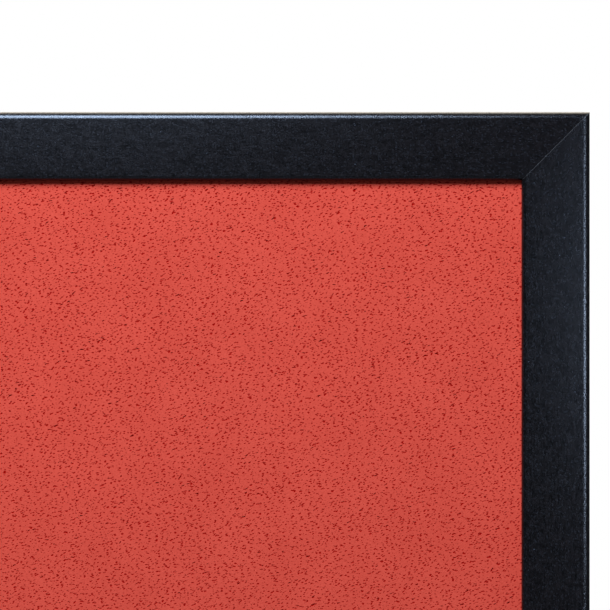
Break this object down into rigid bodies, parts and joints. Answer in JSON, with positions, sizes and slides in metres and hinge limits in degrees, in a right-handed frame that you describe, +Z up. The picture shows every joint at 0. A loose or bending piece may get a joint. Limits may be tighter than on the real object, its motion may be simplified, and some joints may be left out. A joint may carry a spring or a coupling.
{
  "type": "framed wall pad",
  "caption": "Rectangular wall pad: a mitred satin black channel frame around a recessed red porous rubber face over foam and a backing board, hooked onto wall rails.",
  "frame": {"origin": "centre of the wall screw pattern, on the wall plane, which is also the middle of the panel seen from the front", "axes": "+X to the right as seen from the front, +Z up, +Y into the wall; the striking face looks along -Y"},
  "size_m": [0.61, 0.053, 0.457],
  "materials": {
    "frame_coat": "satin black powder coat with a fine mottle",
    "face_rubber": "matt red porous cellular rubber",
    "core_foam": "closed cell foam",
    "plywood": "sanded birch plywood",
    "corner_key": "as cast",
    "set_screw": "black oxide",
    "zinc_plate": "bright zinc plate",
    "rail_aluminium": "mill finish",
    "bumper_rubber": "matt moulded"
  },
  "bodies": {
    "wall_rails": {"wall_rail_upper": "rail_aluminium", "wall_rail_lower": "rail_aluminium"},
    "panel": {"frame_top": "frame_coat", "frame_right": "frame_coat", "frame_bottom": "frame_coat", "frame_left": "frame_coat", "corner_key_top_right": "corner_key", "corner_key_bottom_right": "corner_key", "corner_key_bottom_left": "corner_key", "corner_key_top_left": "corner_key", "corner_set_screws": "set_screw", "foam_core": "core_foam", "backing_board": "plywood", "tee_nuts": "zinc_plate", "panel_rail_upper": "rail_aluminium", "panel_rail_lower": "rail_aluminium", "panel_rail_screws": "zinc_plate", "bumper_top_left": "bumper_rubber", "bumper_top_right": "bumper_rubber", "bumper_right_upper": "bumper_rubber", "bumper_right_lower": "bumper_rubber", "bumper_bottom_right": "bumper_rubber", "bumper_bottom_left": "bumper_rubber", "bumper_left_lower": "bumper_rubber", "bumper_left_upper": "bumper_rubber"},
    "face": {"face_sheet": "face_rubber"}
  },
  "joints": [
    {"name": "lift_off", "type": "slide", "parent": "wall_rails", "child": "panel", "axis": [0, 0, 1], "range_m": [0, 0.014]},
    {"name": "face_give", "type": "slide", "parent": "panel", "child": "face", "axis": [0, 1, 0], "range_m": [0, 0.008], "stiffness_N_per_m": 30000, "deforming": ["foam_core"]}
  ]
}
